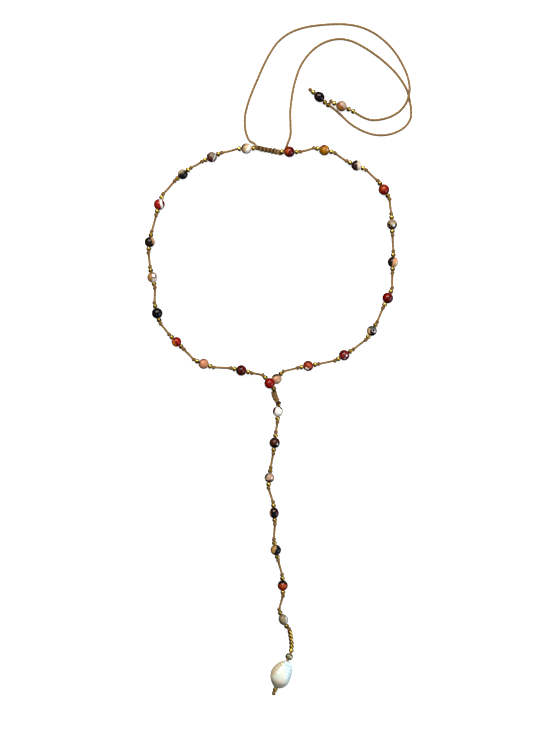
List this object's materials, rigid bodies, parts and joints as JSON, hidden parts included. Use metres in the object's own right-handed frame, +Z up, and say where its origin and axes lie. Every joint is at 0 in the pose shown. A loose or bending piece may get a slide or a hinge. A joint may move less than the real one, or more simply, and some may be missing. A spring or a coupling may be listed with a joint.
{
  "type": "necklace",
  "caption": "Knotted agate bead necklace with a sliding knot and two loose tails, and a long beaded drop that ends in a baroque pearl, laid flat.",
  "frame": {"origin": "on the surface that it lies on, under the middle of the loop and drop", "axes": "+Y runs from the pearl up to the sliding knot, +Z up from the surface, +X across the loop to the right, seen from above"},
  "size_m": [0.1126, 0.2824, 0.0083],
  "materials": {
    "agate_cream": "polished, translucent",
    "agate_tan": "polished, translucent",
    "agate_peach": "polished, translucent",
    "agate_orange": "polished, translucent",
    "agate_red": "polished, translucent",
    "agate_brown": "polished, translucent",
    "agate_black": "polished, translucent",
    "brass": "polished",
    "plated_metal": "faceted, pale plating",
    "pearl": "nacre lustre",
    "waxed_cord": "waxed twisted cotton"
  },
  "bodies": {
    "root": {"stone_01": "agate_cream", "stone_02": "agate_brown", "stone_03": "agate_tan", "stone_04": "agate_red", "stone_05": "agate_black", "stone_06": "agate_tan", "stone_07": "agate_black", "stone_08": "agate_orange", "stone_09": "agate_peach", "stone_10": "agate_black", "stone_11": "agate_red", "stone_12": "agate_peach", "stone_13": "agate_orange", "stone_14": "agate_brown", "stone_15": "agate_tan", "stone_16": "agate_red", "stone_17": "agate_brown", "stone_18": "agate_brown", "stone_19": "agate_orange", "stone_20": "agate_brown", "stone_21": "agate_orange", "stone_22": "agate_red", "drop_stone_1": "agate_cream", "drop_stone_2": "agate_brown", "drop_stone_3": "agate_peach", "drop_stone_4": "agate_black", "drop_stone_5": "agate_orange", "drop_stone_6": "agate_brown", "drop_stone_7": "agate_peach", "outer_tail_stone": "agate_peach", "inner_tail_stone": "agate_black", "brass_left_upper": "brass", "brass_left_lower": "brass", "brass_right_lower": "brass", "brass_right_upper": "brass", "brass_drop_upper": "brass", "brass_drop_lower": "brass", "outer_tail_brass": "brass", "inner_tail_brass": "brass", "faceted_bead": "plated_metal", "pearl": "pearl", "left_cord": "waxed_cord", "right_cord": "waxed_cord", "drop_cord": "waxed_cord", "outer_tail_cord": "waxed_cord", "inner_tail_cord": "waxed_cord", "sliding_knot": "waxed_cord", "junction_wrap": "waxed_cord"}
  },
  "joints": []
}
